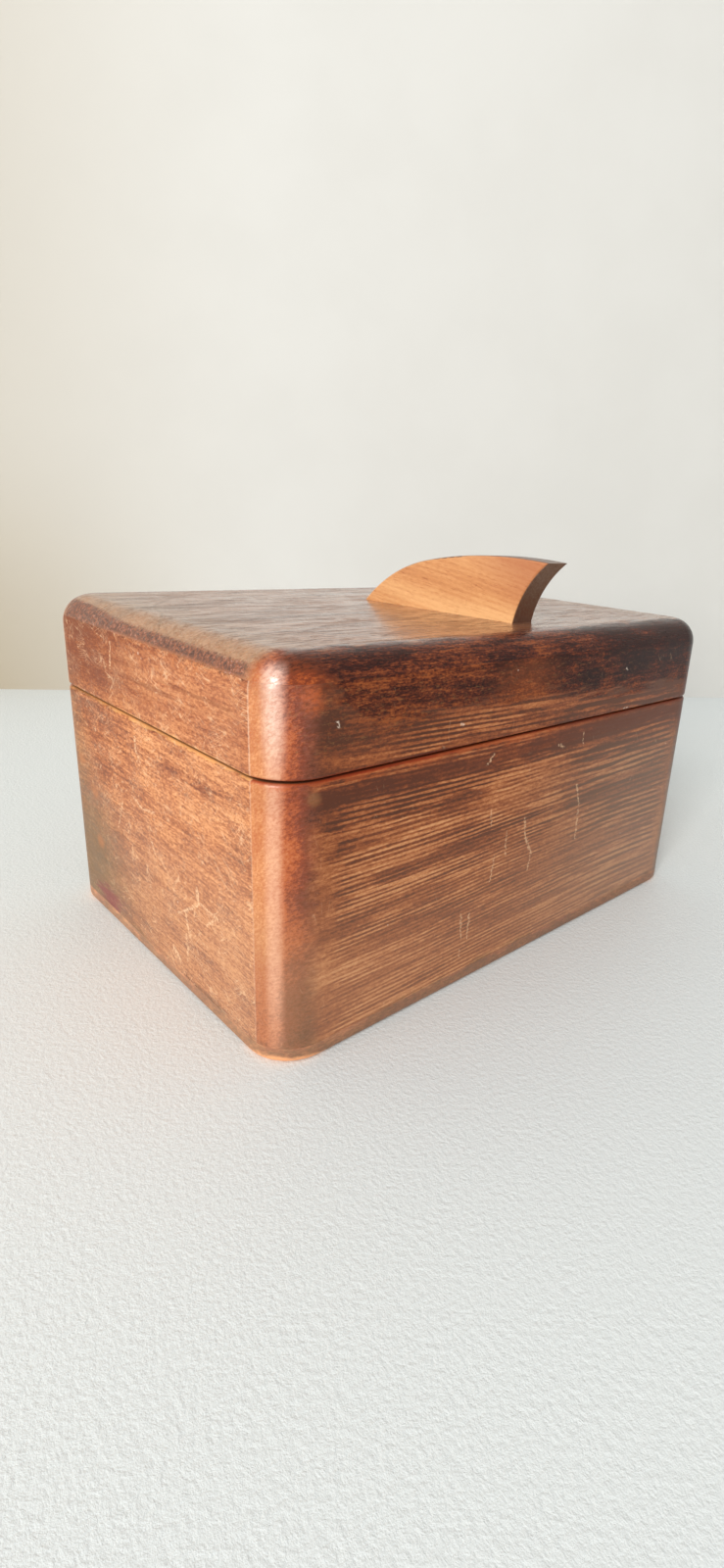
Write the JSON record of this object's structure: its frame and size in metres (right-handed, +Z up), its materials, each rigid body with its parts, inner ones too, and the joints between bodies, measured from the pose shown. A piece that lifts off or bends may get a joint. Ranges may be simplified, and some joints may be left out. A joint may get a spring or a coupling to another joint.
{
  "type": "hinged wooden box",
  "caption": "Small wooden box with rounded corners, a hinged lid cut from the same block of boards, and a curved fin-shaped pull on top.",
  "frame": {"origin": "centre of the underside, on the surface that the box stands on", "axes": "+X along the long side, +Y from the front to the hinged back, +Z up"},
  "size_m": [0.15, 0.1042, 0.099],
  "materials": {
    "board_wood": "old satin varnish over reddish brown stain, worn at the edges",
    "panel_wood": "old satin varnish over dark brown stain, fine open grain",
    "fin_wood": "honey-coloured wood, thin satin varnish",
    "hinge_brass": "dull aged brass",
    "screw_brass": "dull aged brass"
  },
  "bodies": {
    "base": {"bottom_panel": "panel_wood", "front_board": "board_wood", "back_board": "board_wood", "left_end_board": "board_wood", "right_end_board": "board_wood", "left_base_leaf": "hinge_brass", "right_base_leaf": "hinge_brass", "left_hinge_pin": "hinge_brass", "right_hinge_pin": "hinge_brass", "base_leaf_screws": "screw_brass"},
    "lid": {"lid_top_panel": "panel_wood", "lid_front_rail": "board_wood", "lid_back_rail": "board_wood", "lid_left_rail": "board_wood", "lid_right_rail": "board_wood", "fin_handle": "fin_wood", "fin_screws": "screw_brass", "left_lid_leaf": "hinge_brass", "right_lid_leaf": "hinge_brass", "lid_leaf_screws": "screw_brass"}
  },
  "joints": [
    {"name": "lid_hinge", "type": "hinge", "parent": "base", "child": "lid", "pos_m": [0, 0.04995, 0.06062], "axis": [-1, 0, 0], "range_deg": [0, 98]}
  ]
}
